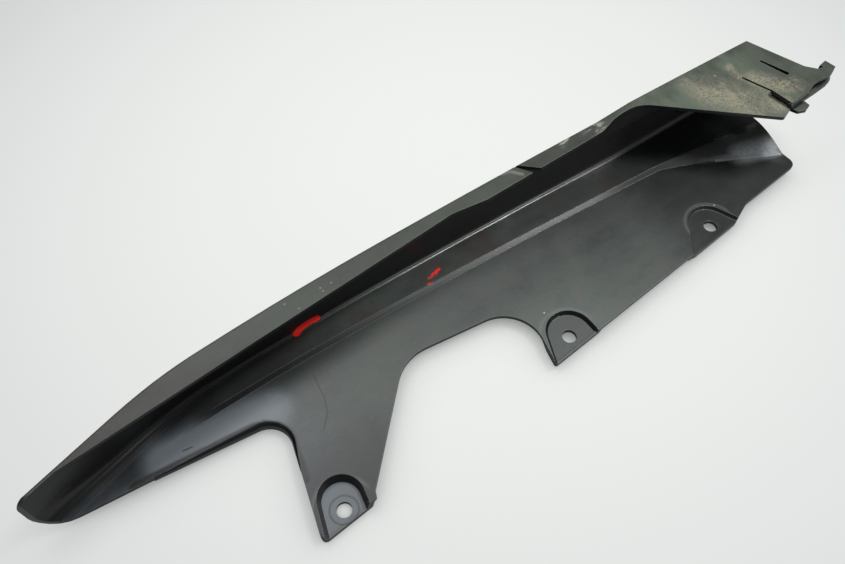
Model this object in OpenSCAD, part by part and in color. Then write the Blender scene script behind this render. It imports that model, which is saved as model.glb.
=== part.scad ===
// Chain guard for a motorcycle: one moulded channel.
// It lies on its mounting panel. X runs from the nose to the clip, Y runs from the
// three mounting tabs towards the closed top wall, and Z is up from the mounting seats.

/* [Channel] */
// Length of the mounting panel from the nose to its square end
panel_length = 521.5; // [500:0.5:560]
// Thickness of the moulding
skin = 2.5; // [2:0.1:3]
// Height of the panel's inner face above the lowest mounting seat
panel_rise = 8.5; // [8:0.1:10]
// Height of the inner flange at the nose
nose_height = 41.4; // [37:0.5:45]
// How much higher the flange is at the clip end than at the nose
height_gain = 13; // [8:0.5:18]
// Small step up in the flange where the wide plate begins
plate_step = 2.6; // [0.5:0.1:4]
// Distance from the panel's square end forward to the start of that step
plate_step_back = 121.5; // [119.5:1:131.5]
// Length over which the step rises
plate_step_run = 27; // [20:1:30]
// Inside radius of the crease between panel and top wall
crease_radius = 3; // [1.5:0.1:4]
// Inside radius of that crease at the nose, where it opens into a scoop
scoop_radius = 12; // [6:0.5:13]
// Distance from the nose at which the scoop has become a crease
scoop_end_x = 130; // [100:1:160]
// Inside radius of the corner between top wall and flange
flange_radius = 1; // [0.5:0.1:2]
// Outside radius of that corner
flange_edge_radius = 1.5; // [0.8:0.1:2.5]
// How much further in the top wall stands at its foot, at the clip end
wall_lean = 3; // [0:0.2:4]

/* [Top wall in plan] */
// Distance from the nose to the highest point of the bow
crown_x = 230; // [215:1:245]
// Radius of the long shallow bow towards the clip
bow_radius = 7800; // [6500:50:12000]
// Radius of the bow between its highest point and the nose bend
nose_bow_radius = 1900; // [1600:50:2600]
// Distance from the nose at which the bow passes into the nose bend
bend_x = 110; // [110:1:118]
// Radius of the nose bend
bend_radius = 240; // [220:5:260]
// Distance from the nose at which the bend passes into a straight run
straight_x = 60; // [54:1:66]
// Radius of the front upper corner of the nose, seen from the side
nose_corner_radius = 9; // [5:0.5:12]
// Radius of the front lower corner of the nose, seen from the side
nose_chin_radius = 12; // [8:0.5:14]
// Distance from the nose to the place where the lower edge straightens
nose_edge_x = 12.5; // [10:0.5:16]

/* [Raised strip beside the top wall] */
// Distance from the nose at which the strip begins to rise
strip_start_x = 76; // [68:1:86]
// Distance from the nose at which it has its full height
strip_full_x = 108; // [96:1:109]
// Height of the strip above the panel
strip_height = 2.5; // [1.5:0.1:3.5]
// Width of the strip where it begins
strip_width = 19; // [16:0.5:20.5]
// Width that the strip gains up to the flare
strip_gain = 12; // [8:0.5:15]
// Length over which the strip flares out, up to the panel's square end
flare_back = 81.5; // [71.5:1:91.5]
// Extra width of the strip at the end of the panel
flare_gain = 35; // [26:1:38]
// Extra height of the strip at the end of the panel
flare_rise = 7; // [4:0.5:8]
// Width of the rounded shoulder at the end of the panel
flare_shoulder = 30; // [20:1:34]

/* [Lower edge] */
// Slope of the lower edges of the tabs, in degrees
foot_angle = 4.9; // [3:0.1:6]
// Distance of the lower edge from the crown line at the nose
lower_edge_nose = 33.6; // [32.6:0.2:34.6]
// Distance from the nose to the corner of the first arch
arch_1_x = 135.7; // [130:0.5:140]
// Distance of that corner from the crown line
arch_1_y = 46.4; // [45:0.2:50]
// Radius of the first arch
arch_1_radius = 14; // [10:0.5:16]
// Distance from the nose to the left corner of the wide arch
arch_2_x = 211.8; // [205:0.5:218]
// Distance of that corner from the crown line
arch_2_y = 54.8; // [53:0.2:58]
// Radius of the left corner of the wide arch
arch_2_radius = 30; // [20:1:36]
// Distance from the nose to the right corner of the wide arch
arch_3_x = 294; // [290:0.5:298]
// Distance of that corner from the crown line
arch_3_y = 65; // [62:0.2:67]
// Radius of the right corner of the wide arch
arch_3_radius = 24; // [14:0.5:26]
// Radius to which the edge is rolled down round the first arch
roll_radius = 3.2; // [1.5:0.1:3.4]
// How far the rolled edge hangs below the panel's underside
roll_drop = 3; // [1:0.1:4]

/* [Mounting holes] */
// Diameter of the three holes
hole_diameter = 8.7; // [6.5:0.1:9.5]
// First hole, distance from the nose
hole_1_x = 136; // [134:0.5:138]
// First hole, distance from the crown line
hole_1_y = 110.1; // [108:0.2:112]
// Second hole, distance from the nose
hole_2_x = 302.7; // [300.7:0.5:305.7]
// Second hole, distance from the crown line
hole_2_y = 98.5; // [96:0.2:100]
// Third hole, distance from the panel's square end
hole_3_back = 87.3; // [84.3:0.5:90.3]
// Third hole, distance from the crown line
hole_3_y = 87.7; // [86:0.2:89]

/* [Tabs] */
// First tab, from its hole to its left corner
tab_1_left = 18.7; // [17.5:0.1:20]
// First tab, from its hole to its right corner
tab_1_right = 17.2; // [16.5:0.1:19]
// First tab, from its hole to its lower edge
tab_1_foot = 7.7; // [7.2:0.1:9]
// Height of the short upright side at the right corner of the first tab
tab_1_side = 4; // [2.5:0.5:6]
// Second tab, from its hole to its left corner
tab_2_left = 19.6; // [19:0.1:22]
// Second tab, from its hole to its lower edge
tab_2_foot = 9; // [8.4:0.1:10]
// Third tab, from its hole to the small step in the lower edge
tab_3_left = 28; // [25:0.5:30]
// Depth of that small step
tab_3_step = 0.6; // [0.3:0.1:1.2]
// Third tab, from its hole to its right corner
tab_3_right = 15.3; // [15:0.1:18]
// Length of the slanted side to the right of the third tab
tab_3_slant = 17.2; // [15:0.2:19]
// How far the lower edge steps up over that slant
tab_3_rise = 4.8; // [4:0.2:6]
// Radius of the lower corner at the end of the panel
end_radius = 6; // [3:0.5:9]

/* [Mounting seats] */
// Radius of the first seat's rounded end
seat_1_radius = 13; // [12:0.1:13.6]
// Radius of the second seat's rounded end
seat_2_radius = 15; // [13:0.1:15.4]
// Radius of the third seat's rounded end
seat_3_radius = 14.5; // [13:0.1:15]
// Depth of the first seat below the panel's inner face
seat_1_depth = 6; // [4:0.1:6]
// Depth of the second seat below the panel's inner face
seat_2_depth = 2.6; // [1.8:0.1:4]
// Depth of the third seat below the panel's inner face
seat_3_depth = 2.4; // [1.5:0.1:4]
// Width of the lip left below a seat
seat_lip = 1.6; // [1.2:0.1:2]
// Height of that lip above the seat's floor
seat_lip_height = 0.7; // [0.3:0.1:1.2]
// How far the wall round the first seat leans in down to its floor
seat_1_draft = 2.2; // [1:0.1:2.6]
// How far the wall round the second seat leans in down to its floor
seat_2_draft = 1.9; // [0.8:0.1:2.4]
// How far the wall round the third seat leans in down to its floor
seat_3_draft = 1.3; // [0.6:0.1:2]

/* [Flange and end plate] */
// Distance from the nose to the start of the flange
flange_start_x = 24; // [18:0.5:30]
// Distance from the nose to the narrowest place before the kink
flange_kink_x = 279; // [270:1:288]
// Distance of the flange edge from the crown line there
flange_kink_y = 8.6; // [7.5:0.1:10]
// Length of the kink
flange_kink_run = 24; // [18:1:28]
// Depth of the kink
flange_kink_depth = 3.5; // [2:0.1:4.5]
// Distance of the flange edge from the crown line before the plate
flange_late_y = 11; // [9.5:0.1:11.5]
// Narrowest flange edge, distance from the crown line
flange_neck_y = 7.2; // [6.6:0.1:7.8]
// Distance from the panel's square end to the corner where the plate begins
plate_start_back = 91.5; // [85.5:0.5:94.5]
// Distance from the panel's square end to the inner corner of the plate
plate_corner_back = 24; // [21.5:0.5:31.5]
// Distance of that corner from the crown line
plate_corner_y = 71.8; // [67:0.5:72]
// Radius of that corner
plate_corner_radius = 2.5; // [1:0.5:5]
// How far the plate runs past the end of the panel at the top wall
plate_overhang = 9.2; // [6:0.1:11]
// How far its slanted end runs on from there to the clip
plate_slant = 16.7; // [12:0.5:18]
// Distance of the end of that slant from the crown line
plate_slant_y = 55.1; // [53:0.5:56]

/* [Break in the flange] */
// Distance from the panel's square end to the break at the flange edge
break_back = 180; // [161.5:0.5:201.5]
// How far the break slants back towards the nose at the corner
break_slant = 10; // [5:0.5:14]
// Width of the break at the flange edge
break_gap = 2.2; // [1:0.1:4]
// Width of the break at the corner
break_tip = 0.7; // [0.5:0.1:1.2]
// Height of the break down the top wall
break_depth = 4; // [3:0.5:8]

/* [Clip] */
// Length of the clip along the guard
clip_length = 54.3; // [48:0.5:60]
// Depth of the clip across the guard
clip_depth = 22.5; // [20:0.5:25]
// Height of the gap inside the clip
clip_gap = 5.2; // [4.6:0.1:6]
// Thickness of the clip's two jaws
jaw_skin = 2.2; // [1.8:0.1:2.5]
// Slope of the upper jaw along the clip, in degrees
jaw_angle = 1.6; // [0.5:0.1:2]
// Width of the two cuts that free the sprung tongue
tongue_cut = 1.4; // [1:0.1:2]
// Length of the sprung tongue
tongue_length = 22; // [18:0.5:23]

/* [Hidden] */

// Cuts and joins reach past the faces that they meet by this much
over = 1;
// Two bodies that are fused share this much
bite = 0.5;
// The panel face is modelled out to here and then trimmed to the outline
sheet_y = 130;
// Largest height that any trimming outline needs
sheet_z = 80;
// Largest turn of one facet in a rounded corner, in degrees
facet_turn = 7.5;
// Facets of a drilled hole
hole_facets = 64;
// Numbers of facets in the crease, the flange corner and the shoulder
crease_facets = 6;
corner_facets = 4;
shoulder_facets = 7;

// What belongs to the tail keeps its distance from the panel's square end
plate_step_x = panel_length - plate_step_back;
plate_start_x = panel_length - plate_start_back;
plate_corner_x = panel_length - plate_corner_back;
flare_x = panel_length - flare_back;
hole_3_x = panel_length - hole_3_back;
break_x = panel_length - break_back;

// Level that splits the panel's outline from the flange's outline
split_z = nose_height / 2;
// Place of the whole part: middle of its length and width, lowest seat on the ground
clip_plate_share = 0.78;
clip_drop_share = 0.57;
clip_reach = clip_length * (1 - clip_plate_share);
part_x = -(panel_length + plate_overhang + plate_slant + clip_reach) / 2;
part_y = (hole_1_y + tab_1_foot / cos(foot_angle) + tab_1_left * tan(foot_angle)) / 2;

function unit(v) = v / norm(v);
function ramp(v, a, b) = min(1, max(0, (v - a) / (b - a)));
function mix(a, b, t) = a + (b - a) * t;

// Outer face of the top wall: a shallow bow, a nose bend tangent to it, a straight run
bend_slope = (crown_x - bend_x) / nose_bow_radius;
bend_y = -pow(crown_x - bend_x, 2) / (2 * nose_bow_radius);
function bend_at(x) = bend_y - bend_slope * (bend_x - x)
    - pow(bend_x - x, 2) / (2 * bend_radius);
straight_slope = bend_slope + (bend_x - straight_x) / bend_radius;
function outer_y(x) = x > crown_x ? -pow(x - crown_x, 2) / (2 * bow_radius)
    : x > bend_x ? -pow(x - crown_x, 2) / (2 * nose_bow_radius)
    : x > straight_x ? bend_at(x)
    : bend_at(straight_x) - straight_slope * (straight_x - x);

// Upper face of the flange
function flange_z(x) = nose_height + height_gain * x / panel_length
    + plate_step * ramp(x, plate_step_x, plate_step_x + plate_step_run);

// Raised strip: its foot line, its height and how rounded its shoulder is
function flare(x) = ramp(x, flare_x, panel_length);
function strip_foot(x) = outer_y(x) - strip_width
    - strip_gain * ramp(x, strip_start_x, flare_x) - flare_gain * flare(x);
function strip_z(x) = strip_height * ramp(x, strip_start_x, strip_full_x)
    + flare_rise * flare(x);
function shoulder(x) = mix(strip_height, flare_shoulder, flare(x));
function crease(x) = mix(scoop_radius, crease_radius, ramp(x, 0, scoop_end_x));

// One cross-section of the channel as pairs of inner and outer points [y, z]
function section(x) =
    let (
        wall_y = outer_y(x) - skin,
        wall_foot = wall_y - wall_lean * x / panel_length,
        foot = strip_foot(x),
        level = panel_rise + strip_z(x),
        top = flange_z(x),
        inner = crease(x)
    )
    concat(
        [[[-sheet_y, panel_rise], [-sheet_y, panel_rise - skin]],
         [[foot, panel_rise], [foot, panel_rise - skin]]],
        [for (k = [1 : shoulder_facets])
            let (
                u = k / shoulder_facets,
                y = foot + shoulder(x) * u,
                z = panel_rise + strip_z(x) * mix(u, sin(90 * u), flare(x))
            )
            [[y, z], [y, z - skin]]],
        [for (k = [0 : crease_facets])
            let (a = 90 * k / crease_facets, c = [wall_foot - inner, level + inner])
            [c + inner * [sin(a), -cos(a)], c + (inner + skin) * [sin(a), -cos(a)]]],
        [for (k = [0 : corner_facets])
            let (
                a = 90 * k / corner_facets,
                c = [wall_y - flange_radius, top - skin - flange_radius],
                d = [wall_y + skin - flange_edge_radius, top - flange_edge_radius]
            )
            [c + flange_radius * [cos(a), sin(a)],
             d + flange_edge_radius * [cos(a), sin(a)]]],
        [[[-sheet_y, top - skin], [-sheet_y, top]]]
    );

// Stations along the guard, closer where its form changes faster
station_step = 8;
scoop_step = 20;
bow_step = 24;
straight_step = 40;
flare_step = 8;
function spread(a, b, step) =
    let (n = max(1, ceil((b - a) / step)))
    [for (k = [0 : n - 1]) mix(a, b, k / n)];
far_end = panel_length + plate_overhang + plate_slant + clip_reach;
stations = concat(
    spread(-over, straight_x, scoop_step),
    spread(straight_x, strip_start_x, station_step),
    spread(strip_start_x, strip_full_x, station_step),
    spread(strip_full_x, bend_x, station_step),
    spread(bend_x, crown_x, bow_step),
    spread(crown_x, plate_step_x, straight_step),
    spread(plate_step_x, plate_step_x + plate_step_run, plate_step_run),
    spread(plate_step_x + plate_step_run, flare_x, straight_step),
    spread(flare_x, panel_length, flare_step),
    [panel_length, far_end + over]
);

// The whole channel as one sheet of even thickness, before trimming
module channel_sheet() {
    rows = [for (x = stations) section(x)];
    n = len(rows);
    m = len(rows[0]);
    points = [for (i = [0 : n - 1]) for (k = [0 : m - 1]) for (s = [0, 1])
        [stations[i], rows[i][k][s].x, rows[i][k][s].y]];
    function at(i, k, s) = (i * m + k) * 2 + s;
    faces = concat(
        [for (i = [0 : n - 2]) for (k = [0 : m - 2])
            each [[at(i, k, 0), at(i, k + 1, 0), at(i + 1, k + 1, 0)],
                  [at(i, k, 0), at(i + 1, k + 1, 0), at(i + 1, k, 0)],
                  [at(i, k, 1), at(i + 1, k + 1, 1), at(i, k + 1, 1)],
                  [at(i, k, 1), at(i + 1, k, 1), at(i + 1, k + 1, 1)]]],
        [for (i = [0 : n - 2])
            each [[at(i, 0, 0), at(i + 1, 0, 0), at(i + 1, 0, 1)],
                  [at(i, 0, 0), at(i + 1, 0, 1), at(i, 0, 1)],
                  [at(i, m - 1, 0), at(i + 1, m - 1, 1), at(i + 1, m - 1, 0)],
                  [at(i, m - 1, 0), at(i, m - 1, 1), at(i + 1, m - 1, 1)]]],
        [for (k = [0 : m - 2])
            each [[at(0, k, 0), at(0, k, 1), at(0, k + 1, 1)],
                  [at(0, k, 0), at(0, k + 1, 1), at(0, k + 1, 0)],
                  [at(n - 1, k, 0), at(n - 1, k + 1, 1), at(n - 1, k, 1)],
                  [at(n - 1, k, 0), at(n - 1, k + 1, 0), at(n - 1, k + 1, 1)]]]
    );
    polyhedron(points, faces, convexity = 10);
}

// An outline given by its corners [x, y, radius], each corner rounded to its radius
function arc_at(a, b, c) =
    let (
        u = unit([a.x - b.x, a.y - b.y]),
        v = unit([c.x - b.x, c.y - b.y]),
        half = acos(u * v) / 2,
        centre = [b.x, b.y] + unit(u + v) * b.z / sin(half),
        p = [b.x, b.y] + u * b.z / tan(half) - centre,
        q = [b.x, b.y] + v * b.z / tan(half) - centre,
        from = atan2(p.y, p.x),
        turn = (p.x * q.y - p.y * q.x > 0 ? 1 : -1) * (180 - 2 * half),
        n = max(1, ceil(abs(turn) / facet_turn))
    )
    [for (k = [0 : n]) centre + b.z * [cos(from + turn * k / n), sin(from + turn * k / n)]];
function rounded(corners) =
    let (n = len(corners))
    [for (i = [0 : n - 1])
        let (b = corners[i])
        each b.z == 0 ? [[b.x, b.y]]
            : arc_at(corners[(i + n - 1) % n], b, corners[(i + 1) % n])];

// Lower edge of the nose, the first arch and the left side of the first tab as one path
function foot_y(hole_x, hole_y, foot, x) =
    -hole_y - foot / cos(foot_angle) + (x - hole_x) * tan(foot_angle);
tab_1_left_x = hole_1_x - tab_1_left;
tab_1_left_y = foot_y(hole_1_x, hole_1_y, tab_1_foot, tab_1_left_x);
edge_slope = (arch_1_y - lower_edge_nose) / arch_1_x;
function edge_y(x) = -lower_edge_nose - edge_slope * x;
roll_run_shares = [0, 0.25, 0.5, 0.75];
roll_end_share = 0.3;
arch_arc = arc_at([straight_x, edge_y(straight_x), 0], [arch_1_x, -arch_1_y, arch_1_radius],
    [tab_1_left_x, tab_1_left_y, 0]);
arch_last = arch_arc[len(arch_arc) - 1];
roll_path = concat(
    [for (s = roll_run_shares) mix([straight_x, edge_y(straight_x)], arch_arc[0], s)],
    arch_arc,
    [mix(arch_last, [tab_1_left_x, tab_1_left_y], roll_end_share / 2),
     mix(arch_last, [tab_1_left_x, tab_1_left_y], roll_end_share)]
);
roll_count = len(roll_path);
roll_runs = len(roll_run_shares);
// How far the roll has grown at each point of its path: full round the arch
function roll_share(i) = i < roll_runs ? mix(roll_least_share, 1, roll_run_shares[i])
    : i < roll_count - 2 ? 1
    : mix(1, roll_least_share, (i - roll_count + 3) / 2);
roll_least_share = 0.2;
// Direction from the edge into the panel
function roll_inward(i) =
    let (
        a = roll_path[max(0, i - 1)],
        b = roll_path[min(roll_count - 1, i + 1)],
        d = unit(b - a)
    )
    [-d.y, d.x];
roll_reach = skin + roll_radius / 2;
function inset(i, d) = roll_path[i] + roll_inward(i) * d;

// The panel's own edge ends inside the two ends of the roll
roll_sink = bite / 2;
roll_in = roll_path[0] + unit(roll_path[1] - roll_path[0]) * bite
    + roll_inward(0) * roll_sink;
roll_out = roll_path[roll_count - 1]
    + unit(roll_path[roll_count - 2] - roll_path[roll_count - 1]) * bite
    + roll_inward(roll_count - 1) * roll_sink;

// Rolled-down edge: a strip with a rounded outer corner swept along the path
module rolled_edge() {
    function profile(i) =
        let (r = roll_radius * roll_share(i), low = panel_rise - skin - roll_drop * roll_share(i))
        concat(
            [[roll_reach, panel_rise]],
            [for (k = [0 : corner_facets])
                let (a = 90 * k / corner_facets)
                [r - r * sin(a), panel_rise - r + r * cos(a)]],
            [[0, low], [skin, low], [skin, panel_rise - skin], [roll_reach, panel_rise - skin]]
        );
    m = len(profile(0));
    points = [for (i = [0 : roll_count - 1]) for (p = profile(i))
        let (q = inset(i, p.x)) [q.x, q.y, p.y]];
    function at(i, k) = i * m + k % m;
    inner = m - 2;
    faces = concat(
        [for (i = [0 : roll_count - 2]) for (k = [0 : m - 1])
            each [[at(i, k), at(i + 1, k), at(i + 1, k + 1)],
                  [at(i, k), at(i + 1, k + 1), at(i, k + 1)]]],
        [for (k = [0 : inner - 2]) [at(0, inner), at(0, k), at(0, k + 1)]],
        [[at(0, inner), at(0, inner + 1), at(0, 0)]],
        [for (k = [0 : inner - 2])
            [at(roll_count - 1, inner), at(roll_count - 1, k + 1), at(roll_count - 1, k)]],
        [[at(roll_count - 1, inner), at(roll_count - 1, 0), at(roll_count - 1, inner + 1)]]
    );
    polyhedron(points, faces, convexity = 6);
}

// Outline of the mounting panel with its tabs and arches
chin_radius = 36;
side_radius = 3;
foot_radius = 1.5;
tab_1_right_x = hole_1_x + tab_1_right;
tab_1_right_y = foot_y(hole_1_x, hole_1_y, tab_1_foot, tab_1_right_x);
tab_2_left_x = hole_2_x - tab_2_left;
tab_3_left_x = hole_3_x - tab_3_left;
tab_3_right_x = hole_3_x + tab_3_right;
function foot_2(x) = foot_y(hole_2_x, hole_2_y, tab_2_foot, x);
panel_outline = concat(
    [[0, sheet_y], [0, outer_y(0)]],
    arc_at([0, outer_y(0), 0], [nose_edge_x, edge_y(nose_edge_x), chin_radius],
        [straight_x, edge_y(straight_x), 0]),
    [roll_in, roll_in + roll_inward(0) * (roll_reach - bite - roll_sink)],
    [for (i = [1 : roll_count - 2]) inset(i, roll_reach - bite)],
    [roll_out + roll_inward(roll_count - 1) * (roll_reach - bite - roll_sink), roll_out],
    arc_at([arch_1_x, -arch_1_y, 0], [tab_1_left_x, tab_1_left_y, side_radius],
        [tab_1_right_x, tab_1_right_y, 0]),
    arc_at([tab_1_left_x, tab_1_left_y, 0], [tab_1_right_x, tab_1_right_y, foot_radius],
        [tab_1_right_x + foot_radius, tab_1_right_y + tab_1_side, 0]),
    arc_at([tab_1_right_x, tab_1_right_y, 0],
        [tab_1_right_x + foot_radius, tab_1_right_y + tab_1_side, side_radius],
        [arch_2_x, -arch_2_y, 0]),
    arc_at([tab_1_right_x + foot_radius, tab_1_right_y + tab_1_side, 0],
        [arch_2_x, -arch_2_y, arch_2_radius], [arch_3_x, -arch_3_y, 0]),
    arc_at([arch_2_x, -arch_2_y, 0], [arch_3_x, -arch_3_y, arch_3_radius],
        [tab_2_left_x, foot_2(tab_2_left_x), 0]),
    arc_at([arch_3_x, -arch_3_y, 0], [tab_2_left_x, foot_2(tab_2_left_x), foot_radius],
        [tab_3_left_x, foot_2(tab_3_left_x), 0]),
    [[tab_3_left_x, foot_2(tab_3_left_x)],
     [tab_3_left_x + side_radius, foot_2(tab_3_left_x) - tab_3_step]],
    arc_at([tab_3_left_x + side_radius, foot_2(tab_3_left_x) - tab_3_step, 0],
        [tab_3_right_x, foot_2(tab_3_right_x) - tab_3_step, side_radius],
        [tab_3_right_x + tab_3_slant, foot_2(tab_3_right_x + tab_3_slant) + tab_3_rise, 0]),
    arc_at([tab_3_right_x, foot_2(tab_3_right_x) - tab_3_step, 0],
        [tab_3_right_x + tab_3_slant, foot_2(tab_3_right_x + tab_3_slant) + tab_3_rise,
         side_radius],
        [panel_length, foot_2(panel_length) + tab_3_rise, 0]),
    arc_at([tab_3_right_x + tab_3_slant, foot_2(tab_3_right_x + tab_3_slant) + tab_3_rise, 0],
        [panel_length, foot_2(panel_length) + tab_3_rise, end_radius], [panel_length, 0, 0]),
    [[panel_length, sheet_y]]
);

// Place where the wall's inner face comes out of the slanted front of the nose
nose_lip_x = skin / (straight_slope + (outer_y(0) - edge_y(nose_edge_x)) / nose_edge_x);

// Outline of the flange and of the wide plate at its end
neck_share = 0.7;
flange_neck_x = plate_start_x - plate_step_run * neck_share;
plate_end_x = panel_length + plate_overhang;
slant_x = plate_end_x + plate_slant;
neck_radius = 30;
plate_start_radius = 26;
clip_x = slant_x - clip_length * clip_plate_share;
clip_y = -plate_slant_y - clip_depth * clip_drop_share;
function clip_at(s) = [clip_x + clip_length * s.x, clip_y + clip_depth * s.y];
window_shares = [[0.04, -0.02], [0.07, 0.74], [0.62, 0.98], [0.645, 0.42], [0.78, 0.4]];
flange_outline = concat(
    [[0, sheet_y], [0, outer_y(0)], [nose_lip_x, outer_y(nose_lip_x) - skin],
     [flange_start_x, outer_y(flange_start_x) - skin], [flange_kink_x, -flange_kink_y],
     [flange_kink_x + flange_kink_run, -flange_kink_y - flange_kink_depth]],
    arc_at([flange_kink_x + flange_kink_run, -flange_kink_y - flange_kink_depth, 0],
        [flange_neck_x - plate_step_run / 2, -flange_late_y, neck_radius],
        [flange_neck_x, -flange_neck_y, 0]),
    arc_at([flange_neck_x - plate_step_run / 2, -flange_late_y, 0],
        [flange_neck_x, -flange_neck_y, neck_radius], [plate_start_x, -flange_neck_y, 0]),
    arc_at([flange_neck_x, -flange_neck_y, 0], [plate_start_x, -flange_neck_y, plate_start_radius],
        [plate_corner_x, -plate_corner_y, 0]),
    arc_at([plate_start_x, -flange_neck_y, 0], [plate_corner_x, -plate_corner_y, plate_corner_radius],
        clip_at(window_shares[0])),
    [for (s = window_shares) clip_at(s)],
    [[slant_x, -plate_slant_y]],
    arc_at([slant_x, -plate_slant_y, 0], [plate_end_x, 0, end_radius], [0, 0, 0]),
    [[plate_end_x - end_radius, sheet_y]]
);

module trim_block(outline, low, high) {
    translate([0, 0, low]) linear_extrude(high - low) polygon(outline);
}

// A seat is a D: a round end with two flaring sides, closed by a line along the foot.
// It is worked out about the seat's centre in a frame that follows the tab's lower edge.
function seat_d(r, drop, left, right) =
    let (n = max(1, ceil((left - right) / facet_turn)))
    concat(
        [[(r + drop * sin(right)) / cos(right), -drop]],
        [for (k = [0 : n]) let (a = mix(right, left, k / n)) r * [cos(a), sin(a)]],
        [[(r + drop * sin(left)) / cos(left), -drop]]
    );
// A solid between two outlines with the same number of points, the first one lower
module between(low, low_z, high, high_z) {
    n = len(low);
    polyhedron(
        concat([for (p = low) [p.x, p.y, low_z]], [for (p = high) [p.x, p.y, high_z]]),
        concat(
            [for (k = [1 : n - 2]) [0, k, k + 1]],
            [for (k = [1 : n - 2]) [n, n + k + 1, n + k]],
            [for (k = [0 : n - 1]) each [[k, n + k, n + (k + 1) % n],
                                         [k, n + (k + 1) % n, (k + 1) % n]]]
        ),
        convexity = 4
    );
}
// One row per seat: hole x, hole y, centre offset along, centre offset up, radius,
// foot distance, angle of the left side, angle of the right side, depth, draft
tab_3_foot = (-hole_3_y - foot_2(hole_3_x)) * cos(foot_angle) + tab_3_step;
seat_1_along = 1.7;
seat_1_up = 4.6;
seat_2_along = 1.6;
seat_2_up = 1.2;
seat_3_along = 0.4;
seat_3_up = 1.1;
seats = [
    [hole_1_x, -hole_1_y, seat_1_along, seat_1_up, seat_1_radius, tab_1_foot, 158, -15,
     seat_1_depth, seat_1_draft],
    [hole_2_x, -hole_2_y, seat_2_along, seat_2_up, seat_2_radius, tab_2_foot, 152, -5,
     seat_2_depth, seat_2_draft],
    [hole_3_x, -hole_3_y, seat_3_along, seat_3_up, seat_3_radius,
     tab_3_foot, 137, 17, seat_3_depth, seat_3_draft]
];
module at_seat(s) {
    translate([s[0], s[1], 0]) rotate([0, 0, foot_angle]) translate([s[2], s[3], 0]) children();
}
// The body round a seat that hangs below the panel
module seat_body(s) {
    drop = s[5] + s[3];
    draft = s[9];
    grown = skin / cos(45) - draft;
    low = panel_rise - s[8] - skin;
    at_seat(s) between(
        seat_d(s[4] + grown, drop + over, s[6], s[7]), low,
        seat_d(s[4] + grown + draft, drop + over, s[6], s[7]), panel_rise - bite);
}
// The recess above its floor, and the shallower cut that leaves a lip along its foot
seat_lip_margin = 0.3;
module seat_recess(s) {
    drop = s[5] + s[3] - seat_lip;
    draft = s[9];
    slope = draft / s[8];
    at_seat(s) between(
        seat_d(s[4] - draft, drop, s[6], s[7]), panel_rise - s[8],
        seat_d(s[4] + over * slope, drop, s[6], s[7]), panel_rise + over);
    at_seat(s) between(
        seat_d(s[4] - draft + seat_lip_height * slope - seat_lip_margin,
            drop + seat_lip + over, s[6], s[7]),
        panel_rise - s[8] + seat_lip_height,
        seat_d(s[4] + over * slope - seat_lip_margin, drop + seat_lip + over, s[6], s[7]),
        panel_rise + over);
}
module seat_hole(s) {
    translate([s[0], s[1], -over])
        cylinder(h = panel_rise + over, d = hole_diameter, $fn = hole_facets);
}

// The two jaws of the clip, the web behind them and the cuts that free its tongue
upper_jaw_shares = [[0.637, 1], [0.433, 0.92], [0.098, 0.75], [0, 0.71], [0.03, 0],
    [0.212, 0.05], [0.335, 0.045], [0.543, 0.21], [0.65, 0.235], [0.8, 0.2], [0.882, 0.22],
    [1, 0.34], [0.982, 0.693], [0.853, 0.64], [0.873, 0.53], [0.78, 0.573]];
lower_jaw_shares = [[0.972, 0.307], [0.915, 0.213], [0.82, 0.16], [0.597, 0.12],
    [0.365, 0.098], [0.361, -0.15], [0.258, -0.23], [0.16, -0.14], [0.13, 0.03],
    [0.11, 0.68], [0.8, 0.68], [0.9, 0.5]];
web_shares = [[0.11, 0.58], [0.11, 0.68], [0.8, 0.68], [0.8, 0.58]];
plate_top = flange_z(slant_x);
jaw_low = plate_top - skin - clip_gap + jaw_skin;
module clip_slab(shares, low, high) {
    trim_block([for (s = shares) clip_at(s)], low, high);
}
// Rounded bead along the upper jaw's lower edge
jaw_bead_radius = 1.8;
jaw_bead_facets = 24;
jaw_bead_shares = [[0.02, 0.03], [0.36, 0.07]];
module jaw_bead() {
    ends = [for (s = jaw_bead_shares) clip_at(s)];
    run = ends[1] - ends[0];
    translate([ends[0].x, ends[0].y, plate_top + jaw_skin - jaw_bead_radius])
        rotate([0, 0, atan2(run.y, run.x)]) rotate([0, 90, 0])
            cylinder(h = norm(run), r = jaw_bead_radius, $fn = jaw_bead_facets);
}
module clip_jaws() {
    turn_at = clip_at([clip_plate_share, 0]);
    translate([turn_at.x, 0, plate_top]) rotate([0, jaw_angle, 0])
        translate([-turn_at.x, 0, -plate_top])
            clip_slab(upper_jaw_shares, plate_top - bite, plate_top - bite + jaw_skin + over / 2);
    clip_slab(lower_jaw_shares, jaw_low - jaw_skin, jaw_low);
    clip_slab(web_shares, jaw_low - bite, plate_top);
    jaw_bead();
}
tongue_lean = 17;
tongue_shares = [[0.07, 0.74], [0.5, 0.95]];
tongue_end_shares = [[0.05, 0.71], [0.5, 0.925]];
tongue_cut_flare = 1.6;
module tongue_cuts() {
    for (side = [0, 1])
        translate(concat(clip_at(tongue_shares[side]), [split_z]))
            rotate([0, 0, tongue_lean]) linear_extrude(sheet_z - split_z)
                polygon(side
                    ? [[0, -over], [0, tongue_length], [-tongue_cut, tongue_length],
                       [-tongue_cut - tongue_cut_flare, 0], [-tongue_cut - tongue_cut_flare, -over]]
                    : [[0, -over], [tongue_cut, -over], [tongue_cut, tongue_length],
                       [0, tongue_length]]);
    ends = [for (s = tongue_end_shares) clip_at(s)];
    run = ends[1] - ends[0];
    translate([ends[0].x, ends[0].y, split_z]) rotate([0, 0, atan2(run.y, run.x)])
        cube([norm(run), tongue_cut, sheet_z - split_z]);
}

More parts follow.
